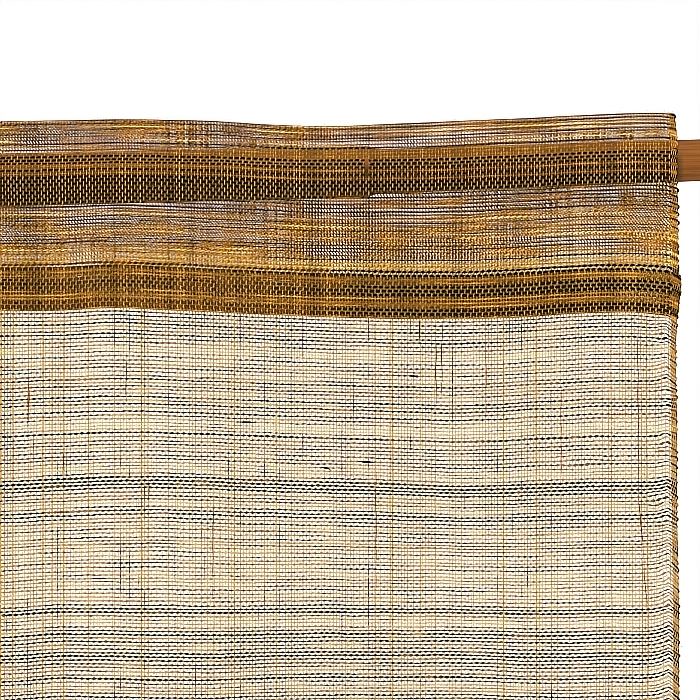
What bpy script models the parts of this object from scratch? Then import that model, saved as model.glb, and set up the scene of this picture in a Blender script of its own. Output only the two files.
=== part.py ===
"""Noren curtain on a rod: two open-weave hemp panels hung side by side from one bamboo rod.

Metres, +Z up. The rod runs along X, the curtain's front faces -Y, and the origin is on the rod's axis,
halfway along the rod. Each panel is one length of cloth. From its bottom hem it rises as the single front
layer, goes over the rod, comes down behind as the back layer of the rod pocket, and its raw end is turned
in and up between the two layers. The bottom hem is turned up at the back with its raw end turned in too.
"""

import math
from collections import namedtuple

import bmesh
import bpy
import numpy as np

# Cloth
PANEL_WIDTH = 0.425
SLIT_GAP = 0.0006
CLOTH_THICKNESS = 0.001
LAYER_PITCH = 0.0016
HEM_BOTTOM_Z = -0.880
HEM_HEIGHT = 0.020
HEM_TURN_IN = 0.013
POCKET_TURN_IN = 0.0133
POCKET_CLOSE = 0.0148
CREASE_RADIUS = 0.0009
ROD_CLEARANCE = 0.0006

# Grid of each panel
COLUMNS = 20
FALL_ROWS = 13
POCKET_ARC_STEPS = 4
CREASE_STEPS = 4
TURN_STEPS = 4

# Rod
ROD_HALF_LENGTH = 0.500
NODE_RING_RISE = 0.00025
NODE_RING_HALF = 0.0025
NODE_RING_REACH = 0.0060
ROD_BEVEL_RESOLUTION = 4

# The culm's nodes, right to left. The internodes between them are straight, so the rod kinks a little at
# each node and sags towards its middle. The radius on either side of a node differs.
CulmNode = namedtuple("CulmNode", "x axis_z radius_left radius_right")
ROD_END_RIGHT = CulmNode(ROD_HALF_LENGTH, 0.00953, 0.00595, 0.00595)
CULM_NODES = (
    CulmNode(0.333, 0.00365, 0.00770, 0.00675),
    CulmNode(0.143, -0.00055, 0.00830, 0.00820),
    CulmNode(-0.050, 0.00020, 0.00840, 0.00830),
    CulmNode(-0.245, 0.00190, 0.00850, 0.00840),
    CulmNode(-0.440, 0.00520, 0.00860, 0.00850),
)
ROD_END_LEFT = CulmNode(-ROD_HALF_LENGTH, 0.00630, 0.00855, 0.00855)

# Heights of the pressed crease over the rod and of the pocket's lower edge, measured along each panel
# from the slit to its outer edge.
PocketEdge = namedtuple("PocketEdge", "across crease_z lower_z")
RIGHT_POCKET = (
    PocketEdge(0.000, 0.0190, -0.0392),
    PocketEdge(0.070, 0.0183, -0.0398),
    PocketEdge(0.140, 0.0192, -0.0387),
    PocketEdge(0.190, 0.0186, -0.0390),
    PocketEdge(0.230, 0.0190, -0.0384),
    PocketEdge(0.258, 0.0195, -0.0376),
    PocketEdge(0.285, 0.0190, -0.0389),
    PocketEdge(0.318, 0.0175, -0.0402),
    PocketEdge(0.342, 0.0183, -0.0408),
    PocketEdge(0.366, 0.0192, -0.0407),
    PocketEdge(0.390, 0.0203, -0.0395),
    PocketEdge(0.410, 0.0214, -0.0391),
    PocketEdge(0.425, 0.0213, -0.0404),
)
LEFT_POCKET = (
    PocketEdge(0.000, 0.0190, -0.0393),
    PocketEdge(0.055, 0.0185, -0.0386),
    PocketEdge(0.115, 0.0191, -0.0396),
    PocketEdge(0.180, 0.0196, -0.0391),
    PocketEdge(0.240, 0.0192, -0.0402),
    PocketEdge(0.300, 0.0203, -0.0393),
    PocketEdge(0.365, 0.0213, -0.0385),
    PocketEdge(0.425, 0.0222, -0.0389),
)

# Soft vertical folds below the pocket, deepest at the bottom hem. Depth is towards +Y.
Fold = namedtuple("Fold", "across half_width depth")
RIGHT_FOLDS = (
    Fold(0.050, 0.062, -0.0085),
    Fold(0.135, 0.058, 0.0075),
    Fold(0.215, 0.060, -0.0070),
    Fold(0.298, 0.056, 0.0085),
    Fold(0.375, 0.050, -0.0060),
)
LEFT_FOLDS = (
    Fold(0.060, 0.060, 0.0070),
    Fold(0.145, 0.064, -0.0090),
    Fold(0.235, 0.058, 0.0080),
    Fold(0.320, 0.060, -0.0075),
    Fold(0.385, 0.040, 0.0040),
)

# Colours
CLOTH_COLOR = (0.52, 0.33, 0.12, 1.0)
BAMBOO_COLOR = (0.36, 0.14, 0.035, 1.0)


def clear_scene():
    for thing in list(bpy.data.objects):
        bpy.data.objects.remove(thing, do_unlink=True)


def make_material(name, color, roughness):
    material = bpy.data.materials.new(name)
    material.use_nodes = True
    shader = material.node_tree.nodes["Principled BSDF"]
    shader.inputs["Base Color"].default_value = color
    shader.inputs["Roughness"].default_value = roughness
    shader.inputs["Metallic"].default_value = 0.0
    return material


def rod_stations():
    """Stations (x, axis z, radius) from the left end to the right: both ends, and five about each node.

    A node is a low ring, and the culm's radius steps across it."""
    stations = [(ROD_END_LEFT.x, ROD_END_LEFT.axis_z, ROD_END_LEFT.radius_left)]
    ends = [ROD_END_RIGHT, *CULM_NODES, ROD_END_LEFT]
    for index in range(len(CULM_NODES), 0, -1):
        right, node, left = ends[index - 1], ends[index], ends[index + 1]
        slope_left = (node.axis_z - left.axis_z) / (node.x - left.x)
        slope_right = (right.axis_z - node.axis_z) / (right.x - node.x)
        ring = max(node.radius_left, node.radius_right) + NODE_RING_RISE
        stations += [
            (node.x - NODE_RING_REACH, node.axis_z - slope_left * NODE_RING_REACH, node.radius_left),
            (node.x - NODE_RING_HALF, node.axis_z - slope_left * NODE_RING_HALF, node.radius_left),
            (node.x, node.axis_z, ring),
            (node.x + NODE_RING_HALF, node.axis_z + slope_right * NODE_RING_HALF, node.radius_right),
            (node.x + NODE_RING_REACH, node.axis_z + slope_right * NODE_RING_REACH, node.radius_right),
        ]
    stations.append((ROD_END_RIGHT.x, ROD_END_RIGHT.axis_z, ROD_END_RIGHT.radius_right))
    return np.array(stations)


def rod_at(x, reach):
    """The rod's axis height at x, and its largest radius within reach of x."""
    stations = rod_stations()
    near = np.linspace(x - reach, x + reach, 9)
    radius = np.interp(near, stations[:, 0], stations[:, 2]).max()
    inside = np.abs(stations[:, 0] - x) < reach
    if inside.any():
        radius = max(radius, stations[inside, 2].max())
    return float(np.interp(x, stations[:, 0], stations[:, 1])), float(radius)


def add_rod(collection):
    """A bent bamboo culm: a straight-sided curve through the stations, with round sections and flat ends."""
    stations = rod_stations()
    curve = bpy.data.curves.new("rod", "CURVE")
    curve.dimensions = "3D"
    curve.bevel_depth = 1.0
    curve.bevel_resolution = ROD_BEVEL_RESOLUTION
    curve.use_fill_caps = True
    spline = curve.splines.new("POLY")
    spline.points.add(len(stations) - 1)
    for point, (x, z, radius) in zip(spline.points, stations):
        point.co = (x, 0.0, z, 1.0)
        point.radius = radius
    rod = bpy.data.objects.new("rod", curve)
    rod.data.materials.append(make_material("smoked_bamboo", BAMBOO_COLOR, 0.45))
    collection.objects.link(rod)
    return rod


def smooth_between(across, rows, column):
    """A table column at a place across the panel, eased between rows with no corners."""
    places = [row.across for row in rows]
    values = [getattr(row, column) for row in rows]
    index = min(max(int(np.searchsorted(places, across)) - 1, 0), len(rows) - 2)
    step = (across - places[index]) / (places[index + 1] - places[index])
    step = min(max(step, 0.0), 1.0)
    ease = step * step * (3.0 - 2.0 * step)
    return values[index] + (values[index + 1] - values[index]) * ease


def fold_depth(across, fall, folds):
    """How far the cloth stands back at a place across it and a share of its fall, from 0 at the pocket
    to 1 at the hem: a cosine hump for each fold, growing from nothing at the pocket."""
    depth = 0.0
    for fold in folds:
        reach = (across - fold.across) / fold.half_width
        if abs(reach) < 1.0:
            depth += fold.depth * 0.5 * (1.0 + math.cos(math.pi * reach))
    return depth * fall * (2.0 - fall)


def arc(centre_y, centre_z, radius, start, end, steps):
    """Points on an arc about (centre_y, centre_z), both ends included, angles in radians from +Y."""
    angles = np.linspace(start, end, steps + 1)
    return [(centre_y + radius * math.cos(a), centre_z + radius * math.sin(a)) for a in angles]


def bottom_hem(front_y):
    """The hem's section, from its raw end between the layers to the front layer at the hem's top."""
    top = HEM_BOTTOM_Z + HEM_HEIGHT
    turn = LAYER_PITCH / 2
    middle_y = front_y + LAYER_PITCH
    points = [(middle_y, top - turn - HEM_TURN_IN)]
    points += arc(middle_y + turn, top - turn, turn, math.pi, 0.0, TURN_STEPS)
    points += arc(middle_y, HEM_BOTTOM_Z + LAYER_PITCH, LAYER_PITCH, 0.0, -math.pi, TURN_STEPS)
    points.append((front_y, top))
    return points


def pocket(x, edges, across, reach):
    """The rod pocket's section, from the front layer at its lower edge to the raw end between the layers.

    Each layer is tangent to a circle that clears the rod. Below the rod the layers draw together, and
    above it they meet in a crease that stands over the rod."""
    axis_z, rod_radius = rod_at(x, reach)
    radius = rod_radius + ROD_CLEARANCE + CLOTH_THICKNESS / 2
    crease_z = smooth_between(across, edges, "crease_z") - CREASE_RADIUS
    lower_z = smooth_between(across, edges, "lower_z")
    close_z = lower_z + POCKET_CLOSE
    below = axis_z - close_z
    above = crease_z - axis_z
    lower_turn = math.acos(radius / math.hypot(LAYER_PITCH, below)) + math.atan2(LAYER_PITCH, below)
    upper_turn = math.acos(radius / math.hypot(CREASE_RADIUS, above)) + math.atan2(CREASE_RADIUS, above)
    lower_angle = -math.pi / 2 - lower_turn
    upper_angle = -3 * math.pi / 2 + upper_turn
    front = [(-LAYER_PITCH, lower_z), (-LAYER_PITCH, close_z)]
    front += arc(0.0, axis_z, radius, lower_angle, upper_angle, POCKET_ARC_STEPS)
    crease = arc(0.0, crease_z, CREASE_RADIUS, math.pi, 0.0, CREASE_STEPS)
    back = [(-y, z) for y, z in reversed(front[1:])]
    turn = LAYER_PITCH / 2
    turned = arc(turn, lower_z + turn, turn, 0.0, -math.pi, TURN_STEPS)
    return front + crease + back + turned + [(0.0, lower_z + turn + POCKET_TURN_IN)]


def panel_section(x, across, edges, folds, reach):
    """The whole section of a panel at x, as points (y, z) from the hem's raw end to the pocket's."""
    hem = bottom_hem(-LAYER_PITCH + fold_depth(across, 1.0, folds))
    head = pocket(x, edges, across, reach)
    start_z = hem[-1][1]
    end_z = head[0][1]
    fall_points = []
    for row in range(1, FALL_ROWS):
        share = row / FALL_ROWS
        z = start_z + (end_z - start_z) * share
        fall_points.append((-LAYER_PITCH + fold_depth(across, 1.0 - share, folds), z))
    return hem + fall_points + head


def add_panel(collection, name, side, edges, folds, material):
    """One panel as a solidified sheet: a grid with its sections as columns. side is 1 right, -1 left."""
    column_width = PANEL_WIDTH / COLUMNS
    sections = []
    for column in range(COLUMNS + 1):
        across = PANEL_WIDTH * column / COLUMNS
        x = side * (SLIT_GAP / 2 + across)
        section = panel_section(x, across, edges, folds, column_width)
        sections.append([(x, y, z) for y, z in section])
    rows = len(sections[0])
    mesh = bpy.data.meshes.new(name)
    work = bmesh.new()
    bmesh.ops.create_grid(work, x_segments=COLUMNS, y_segments=rows - 1, size=1.0)
    work.verts.ensure_lookup_table()
    ordered = sorted(work.verts, key=lambda vert: (round(vert.co.x, 4), round(vert.co.y, 4)))
    for index, vert in enumerate(ordered):
        column, row = divmod(index, rows)
        vert.co = sections[column][row]
    bmesh.ops.recalc_face_normals(work, faces=work.faces)
    work.to_mesh(mesh)
    work.free()
    panel = bpy.data.objects.new(name, mesh)
    panel.data.materials.append(material)
    collection.objects.link(panel)
    sheet = panel.modifiers.new("cloth", "SOLIDIFY")
    sheet.thickness = CLOTH_THICKNESS
    sheet.offset = 0.0
    sheet.use_even_offset = True
    return panel


def build():
    clear_scene()
    collection = bpy.data.collections.new("noren_curtain")
    bpy.context.scene.collection.children.link(collection)
    cloth = make_material("hemp_cloth", CLOTH_COLOR, 0.9)
    add_rod(collection)
    add_panel(collection, "panel_left", -1, LEFT_POCKET, LEFT_FOLDS, cloth)
    add_panel(collection, "panel_right", 1, RIGHT_POCKET, RIGHT_FOLDS, cloth)


build()
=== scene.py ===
"""A split noren curtain of open-weave hemp on a smoked bamboo rod, seen close at its top right corner.

Metres, +Z up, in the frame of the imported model: the rod along X, the curtain's front facing -Y.
"""
import math
from collections import namedtuple

import bpy
import numpy as np
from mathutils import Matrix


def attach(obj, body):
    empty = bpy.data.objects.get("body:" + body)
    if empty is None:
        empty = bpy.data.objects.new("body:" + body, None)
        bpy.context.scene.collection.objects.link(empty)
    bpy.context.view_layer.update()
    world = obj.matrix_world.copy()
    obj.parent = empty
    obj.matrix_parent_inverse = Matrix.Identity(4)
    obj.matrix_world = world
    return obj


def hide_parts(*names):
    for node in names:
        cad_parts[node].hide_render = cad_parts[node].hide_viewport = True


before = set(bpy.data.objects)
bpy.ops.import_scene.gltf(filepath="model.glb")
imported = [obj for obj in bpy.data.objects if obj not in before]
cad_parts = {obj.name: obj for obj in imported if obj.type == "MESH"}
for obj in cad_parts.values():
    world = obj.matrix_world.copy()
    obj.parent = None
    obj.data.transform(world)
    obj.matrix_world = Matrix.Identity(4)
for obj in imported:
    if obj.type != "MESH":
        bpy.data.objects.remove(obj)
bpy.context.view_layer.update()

# Studio
# A long lens looks square on at the corner of the right panel, close enough to show every yarn. The room is
# plain white, as in a cut-out, with a soft key light from above the left shoulder and a pale floor below.

VIEW_CENTRE = (0.3272, -0.0498)
VIEW_HEIGHT = 0.21
CAMERA_LENS = 200.0
SENSOR_WIDTH = 36.0
KEY_STRENGTH = 1.6
KEY_ANGLE = math.radians(14.0)
KEY_TURN = (math.radians(48.0), 0.0, math.radians(-28.0))
ROOM_WHITE = 1.0
FLOOR_Z = -1.05
FLOOR_HALF = 5.0
DISPLAY_GAMMA = 2.2
COLOR_SOFTNESS = 4
EDGE_SHARPNESS = 1.35
LEAST_BRIGHTNESS = 0.03
FLOOR_COLOR = (0.86, 0.85, 0.83, 1.0)
SEE_THROUGH_LAYERS = 24
PIXEL_SPREAD = 1.0


class Wire:
    """A shader socket as a value. + - * / add Math nodes, and node() adds any other node."""

    def __init__(self, socket):
        self.socket = socket
        self.tree = socket.id_data

    def node(self, kind, settings=None, inputs=None, output=0):
        made = self.tree.nodes.new(kind)
        for name, value in (settings or {}).items():
            setattr(made, name, value)
        for name, value in (inputs or {}).items():
            if isinstance(value, Wire):
                self.tree.links.new(value.socket, made.inputs[name])
            else:
                made.inputs[name].default_value = value
        return Wire(made.outputs[output]) if made.outputs else None

    def math(self, operation, *others):
        return self.node("ShaderNodeMath", {"operation": operation}, dict(enumerate((self, *others))))

    def ramp(self, stops):
        """The value looked up in a ramp of (place, colour) stops."""
        ramp = self.node("ShaderNodeValToRGB", {}, {"Fac": self})
        points = ramp.socket.node.color_ramp.elements
        points[0].position, points[0].color = stops[0][0], (*stops[0][1], 1.0)
        points[1].position, points[1].color = stops[-1][0], (*stops[-1][1], 1.0)
        for place, color in stops[1:-1]:
            points.new(place).color = (*color, 1.0)
        return ramp

    def mix(self, other, amount):
        """This colour turned towards another by an amount from 0 to 1."""
        sockets = {"Factor": amount, 6: self, 7: other}
        return self.node("ShaderNodeMix", {"data_type": "RGBA", "clamp_factor": True}, sockets, 2)

    def tint(self, amount):
        """This colour made darker or lighter by a value."""
        return self.times(self.node("ShaderNodeCombineXYZ", {}, {0: amount, 1: amount, 2: amount}))

    def times(self, color):
        """This colour multiplied by another."""
        return self.node("ShaderNodeVectorMath", {"operation": "MULTIPLY"}, {0: self, 1: color})

    def attribute(self, name):
        """A value that the mesh carries on its points or faces."""
        return self.node("ShaderNodeAttribute", {"attribute_name": name}, {}, 2)

    def paint(self, color):
        """A plain colour."""
        plain = self.node("ShaderNodeRGB")
        plain.socket.default_value = (*color, 1.0)
        return plain

    def clamp(self):
        return self.node("ShaderNodeClamp", {}, {"Value": self})

    def __add__(self, other):
        return self.math("ADD", other)

    __radd__ = __add__

    def __sub__(self, other):
        return self.math("SUBTRACT", other)

    def __rsub__(self, other):
        return (self * -1.0) + other

    def __mul__(self, other):
        return self.math("MULTIPLY", other)

    __rmul__ = __mul__

    def __truediv__(self, other):
        return self.math("DIVIDE", other)


def new_object(name, data):
    """An object of some data, linked into the scene."""
    made = bpy.data.objects.new(name, data)
    bpy.context.collection.objects.link(made)
    return made


camera_data = bpy.data.cameras.new("camera")
camera_data.lens = CAMERA_LENS
camera_data.sensor_width = SENSOR_WIDTH
camera_data.clip_end = 100.0
camera = new_object("camera", camera_data)
distance = VIEW_HEIGHT / SENSOR_WIDTH * CAMERA_LENS
camera.location = (VIEW_CENTRE[0], -distance, VIEW_CENTRE[1])
camera.rotation_euler = (math.pi / 2, 0.0, 0.0)
bpy.context.scene.camera = camera

key_data = bpy.data.lights.new("key", "SUN")
key_data.energy = KEY_STRENGTH
key_data.angle = KEY_ANGLE
key = new_object("key", key_data)
key.rotation_euler = KEY_TURN

world = bpy.data.worlds.new("white_room")
world.use_nodes = True
background = world.node_tree.nodes["Background"]
background.inputs["Color"].default_value = (1.0, 1.0, 1.0, 1.0)
background.inputs["Strength"].default_value = ROOM_WHITE
bpy.context.scene.world = world
bpy.context.scene.view_settings.view_transform = "Standard"
bpy.context.scene.view_settings.look = "None"
bpy.context.scene.cycles.transparent_max_bounces = SEE_THROUGH_LAYERS
bpy.context.scene.cycles.filter_width = PIXEL_SPREAD


def add_photo_finish(scene):
    """The photo's finish, in display values: colour softened over a few pixels, plus the difference between
    the sharpened brightness and the softened one."""
    scene.use_nodes = True
    scene.node_tree.nodes.clear()
    picture = Wire(scene.node_tree.nodes.new("CompositorNodeRLayers").outputs["Image"])

    def change(kind, settings=None, **inputs):
        return picture.node("CompositorNode" + kind, settings, inputs)

    def combine(operation, first, second):
        return picture.node("CompositorNodeMath", {"operation": operation}, {0: first, 1: second})

    shown = change("Gamma", Image=picture, Gamma=1.0 / DISPLAY_GAMMA)
    blur = {"filter_type": "GAUSS", "size_x": COLOR_SOFTNESS, "size_y": COLOR_SOFTNESS}
    soft = change("Blur", blur, Image=shown)
    bright = change("RGBToBW", Image=shown)
    sharpened = change("Filter", {"filter_type": "SHARPEN"}, Fac=EDGE_SHARPNESS / 8.0, Image=bright)
    crisp = combine("MINIMUM", combine("MAXIMUM", change("RGBToBW", Image=sharpened), LEAST_BRIGHTNESS), 1.0)
    detail = combine("SUBTRACT", crisp, change("RGBToBW", Image=soft))
    adding = {"blend_type": "ADD", "use_clamp": True}
    both = picture.node("CompositorNodeMixRGB", adding, {0: 1.0, 1: soft, 2: detail})
    change("Composite", Image=change("Gamma", Image=both, Gamma=DISPLAY_GAMMA))


add_photo_finish(bpy.context.scene)


def new_material(name):
    """An empty Principled material, its shader node, and a Wire to start its maths from."""
    material = bpy.data.materials.new(name)
    material.use_nodes = True
    shader = material.node_tree.nodes["Principled BSDF"]
    place = material.node_tree.nodes.new("ShaderNodeTexCoord")
    return material, shader, Wire(place.outputs["Object"])


def feed(shader, **sockets):
    """Links Wires, or sets plain values, on a shader's sockets, named with _ for a space."""
    for name, value in sockets.items():
        socket = shader.inputs[name.replace("_", " ")]
        if isinstance(value, Wire):
            shader.id_data.links.new(value.socket, socket)
        else:
            socket.default_value = value


def new_piece(name, points, faces, material):
    """A mesh piece from arrays of points and of faces, riding on the curtain's one body."""
    mesh = bpy.data.meshes.new(name)
    mesh.vertices.add(len(points))
    mesh.vertices.foreach_set("co", np.ascontiguousarray(points, np.float32).ravel())
    corners = faces.shape[1]
    mesh.loops.add(faces.size)
    mesh.loops.foreach_set("vertex_index", np.ascontiguousarray(faces, np.int32).ravel())
    mesh.polygons.add(len(faces))
    mesh.polygons.foreach_set("loop_start", np.arange(len(faces), dtype=np.int32) * corners)
    mesh.update(calc_edges=True)
    mesh.polygons.foreach_set("use_smooth", np.ones(len(faces), bool))
    mesh.materials.append(material)
    piece = new_object(name, mesh)
    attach(piece, "root")
    return piece


def grid_faces(rows, columns, wrap=False):
    """Quads of a grid of points, rows by columns, its columns joined round where wrap is set."""
    row = np.arange(rows - 1)[:, None]
    column = np.arange(columns if wrap else columns - 1)[None, :]
    following = (column + 1) % columns
    quads = (row * columns + column, row * columns + following,
             (row + 1) * columns + following, (row + 1) * columns + column)
    return np.stack(quads, -1).reshape(-1, 4)


def add_floor():
    """A pale matt floor some way below the hem."""
    mesh = bpy.data.meshes.new("floor")
    half = FLOOR_HALF
    corners = [(-half, -half, FLOOR_Z), (half, -half, FLOOR_Z), (half, half, FLOOR_Z), (-half, half, FLOOR_Z)]
    mesh.from_pydata(corners, [], [(0, 1, 2, 3)])
    material, shader, _ = new_material("floor_paint")
    feed(shader, Base_Color=FLOOR_COLOR, Roughness=0.9)
    mesh.materials.append(material)
    floor = new_object("floor", mesh)


add_floor()

# Rod
# One smoked bamboo culm about a metre long, straight between its nodes and kinked a little at each, thinner
# to the right. It is cut square, and its ends show the hollow. It replaces the plain CAD culm.

CulmNode = namedtuple("CulmNode", "x axis_z radius_left radius_right")
CULM = [CulmNode(*row) for row in (
    (-0.5, 0.0063, 0.00855, 0.00855), (-0.44, 0.0052, 0.0086, 0.0085), (-0.245, 0.0019, 0.0085, 0.0084),
    (-0.05, 0.0002, 0.0084, 0.0083), (0.143, -0.00055, 0.0083, 0.0082), (0.333, 0.00365, 0.0077, 0.00675),
    (0.5, 0.00953, 0.00595, 0.00595),
)]
CULM_WALL = 0.0024
CULM_HOLLOW_DEPTH = 0.035
RING_RISE = 0.0003
RING_HALF = 0.0016
ROD_SIDES = 48
SMOKE_LIGHT = (0.3, 0.095, 0.012)
SMOKE_MIDDLE = (0.21, 0.066, 0.008)
SMOKE_DARK = (0.06, 0.022, 0.003)
# The painted shade on the rod under the cloth: its tint, and how far either side of the middle the cloth
# covers it.
SHADE_TINT = (0.75, 1.0, 0.9)
COVERED_HALF = 0.427


def column_of(rows, name):
    return [getattr(row, name) for row in rows]


def rod_shape(x):
    """The rod's axis height and radius at each x. The axis is straight between nodes. The radius goes evenly
    from one node to the next, steps across each node, and has a low rounded ring on it."""
    nodes = column_of(CULM, "x")
    axis_z = np.interp(x, nodes, column_of(CULM, "axis_z"))
    right_of = np.clip(np.searchsorted(nodes, x, "right") - 1, 0, len(CULM) - 2)
    start = np.array(column_of(CULM, "radius_right"))[right_of]
    end = np.array(column_of(CULM, "radius_left"))[right_of + 1]
    first = np.array(nodes)[right_of]
    last = np.array(nodes)[right_of + 1]
    radius = start + (end - start) * (x - first) / (last - first)
    for node in CULM[1:-1]:
        reach = (x - node.x) / RING_HALF
        near = np.abs(reach) < 4.0
        step = 1.0 / (1.0 + np.exp(-3.0 * np.where(near, reach, 0.0)))
        blended = node.radius_left + (node.radius_right - node.radius_left) * step
        radius = np.where(near, blended + RING_RISE * np.exp(-reach * reach), radius)
    return axis_z, radius


def bamboo_material():
    """Smoked bamboo: fine streaks along the culm and broad patches. Where the cloth covers it, painted shade
    darkens its lower half and turns it greener, and painted light lifts its top a little.
    """
    material, shader, place = new_material("smoked_bamboo")
    along = place.node("ShaderNodeMapping", {}, {"Vector": place, "Scale": (9.0, 900.0, 900.0)})
    broad = place.node("ShaderNodeMapping", {}, {"Vector": place, "Scale": (6.0, 160.0, 160.0)})
    grain = place.node("ShaderNodeTexNoise", {}, {"Vector": along, "Detail": 4.0, "Roughness": 0.65})
    patch = place.node("ShaderNodeTexNoise", {}, {"Vector": broad, "Detail": 3.0})
    tone = (grain * 0.6 + patch * 0.6 - 0.1).clamp()
    color = tone.ramp([(0.25, SMOKE_DARK), (0.45, SMOKE_MIDDLE), (0.75, SMOKE_LIGHT)])
    split = place.node("ShaderNodeSeparateXYZ", {}, {"Vector": place})
    # Painted shade and light: under the cloth the rod is darker and greener on its lower half and a little
    # lighter on top.
    covered = ((COVERED_HALF - split.math("ABSOLUTE")) * 400.0).clamp()
    low = ((0.45 - place.attribute("height")) * 2.2).clamp()
    shaded = color.tint(1.0 - covered * (low * 0.78 - 0.1))
    shaded = shaded.mix(shaded.times(SHADE_TINT), covered * low)
    bump = grain.node("ShaderNodeBump", {}, {"Height": grain, "Distance": 0.0002, "Strength": 0.35})
    feed(shader, Base_Color=shaded, Roughness=0.5 + patch * 0.25, Normal=bump, Specular_IOR_Level=0.15)
    return material


def add_rod():
    """The culm: round sections along the bent axis, closed at each end by a cut rim, the bore's wall and its
    floor. Each section is (x, share of the radius)."""
    spans = [np.linspace(a.x, b.x, 41) for a, b in zip(CULM, CULM[1:])]
    rings = [node.x + RING_HALF * np.linspace(-3.5, 3.5, 29) for node in CULM[1:-1]]
    x = np.unique(np.concatenate(spans + rings).round(6))
    _, radius = rod_shape(x)
    bore_left = radius[0] - CULM_WALL
    bore_right = radius[-1] - CULM_WALL
    x = np.concatenate([[x[0] + CULM_HOLLOW_DEPTH] * 2, [x[0]], x, [x[-1]], [x[-1] - CULM_HOLLOW_DEPTH] * 2])
    axis_z = np.interp(x, column_of(CULM, "x"), column_of(CULM, "axis_z"))
    radius = np.concatenate([[0.0, bore_left, bore_left], radius, [bore_right, bore_right, 0.0]])
    turn = np.linspace(0.0, 2.0 * math.pi, ROD_SIDES, endpoint=False)
    y = radius[:, None] * np.cos(turn)
    z = axis_z[:, None] + radius[:, None] * np.sin(turn)
    points = np.stack([np.broadcast_to(x[:, None], y.shape), y, z], -1).reshape(-1, 3)
    faces = grid_faces(len(x), ROD_SIDES, wrap=True)[:, ::-1]
    rod = new_piece("bamboo_rod", points, faces, bamboo_material())
    rod.data.set_sharp_from_angle(angle=math.radians(40.0))
    height = rod.data.attributes.new("height", "FLOAT", "POINT")
    height.data.foreach_set("value", np.tile(np.sin(turn), len(x)).astype(np.float32))
    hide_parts("rod")


add_rod()

# Panels
# Each panel is one length of loosely woven hemp, selvedge to selvedge: from its raw end, turned up between
# the pocket's layers, up behind the rod, over the pressed crease, down in front of it and on to a turned hem.
# The mesh has a row of faces for each weft, and its map counts warps across and wefts along.

PANEL_WIDTH = 0.425
SLIT_HALF = 0.0003
WARPS = 481
EDGE_COLUMNS = 14
# Where the warps lie in from a selvedge: packed in its band, then two spaced wide, then even.
EdgeWarp = namedtuple("EdgeWarp", "number inset")
EDGE = (EdgeWarp(0, 0.0), EdgeWarp(6, 0.0018), EdgeWarp(8, 0.0041))
# The right panel's columns are closer together right of this warp, in the part that the photo shows.
FINE_FROM = 240
RIGHT_FIELD = np.concatenate([np.linspace(EDGE_COLUMNS, FINE_FROM, 17)[:-1],
                              np.linspace(FINE_FROM, WARPS - EDGE_COLUMNS, 58)])
LEFT_FIELD = np.linspace(EDGE_COLUMNS, WARPS - EDGE_COLUMNS, 74)
WEFT_PITCH = 0.001095
LAYER_GAP = 0.0006
CLOTH_ROD_GAP = 0.0003
CREASE_RADIUS = 0.0005
POCKET_CLOSE = 0.0148
LOWER_EDGE_Z = -0.0395
HEM_BOTTOM_Z = -0.88
TURN_WEFTS = 12
HEAD_WEFTS = 54
FALL_WEFTS = 768
HEM_WEFTS = 18
FRONT_START = TURN_WEFTS + HEAD_WEFTS
FALL_START = FRONT_START + HEAD_WEFTS
HEM_GAP = 0.0007

HeadEdge = namedtuple("HeadEdge", "across crease_z lower_z")
RIGHT_HEAD = [HeadEdge(*row) for row in (
    (0.0, 0.019, -0.0392), (0.07, 0.0183, -0.0398), (0.14, 0.0192, -0.0387), (0.19, 0.0186, -0.039),
    (0.222, 0.01887, -0.0384), (0.24, 0.01917, -0.0383), (0.256, 0.01947, -0.0375),
    (0.27, 0.01935, -0.0381), (0.285, 0.01905, -0.0388), (0.303, 0.0179, -0.0396),
    (0.318, 0.01735, -0.0402), (0.342, 0.01827, -0.0408), (0.364, 0.01917, -0.0408),
    (0.381, 0.0199, -0.0402), (0.39, 0.0204, -0.0395), (0.402, 0.02097, -0.039), (0.414, 0.02142, -0.039),
    (0.42, 0.02142, -0.0398), (0.425, 0.0211, -0.0411),
)]
LEFT_HEAD = [HeadEdge(*row) for row in (
    (0.0, 0.019, -0.0393), (0.055, 0.0185, -0.0386), (0.115, 0.0191, -0.0396), (0.18, 0.0196, -0.0391),
    (0.24, 0.0192, -0.0402), (0.3, 0.0203, -0.0393), (0.365, 0.0213, -0.0385), (0.425, 0.0222, -0.0389),
)]
Fold = namedtuple("Fold", "across half_width depth")
RIGHT_FOLDS = [Fold(*row) for row in (
    (0.05, 0.062, -0.0085), (0.135, 0.058, 0.0075), (0.215, 0.06, -0.007), (0.298, 0.056, 0.0085),
    (0.375, 0.05, -0.006),
)]
LEFT_FOLDS = [Fold(*row) for row in (
    (0.06, 0.06, 0.007), (0.145, 0.064, -0.009), (0.235, 0.058, 0.008), (0.32, 0.06, -0.0075),
    (0.385, 0.04, 0.004),
)]
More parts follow.
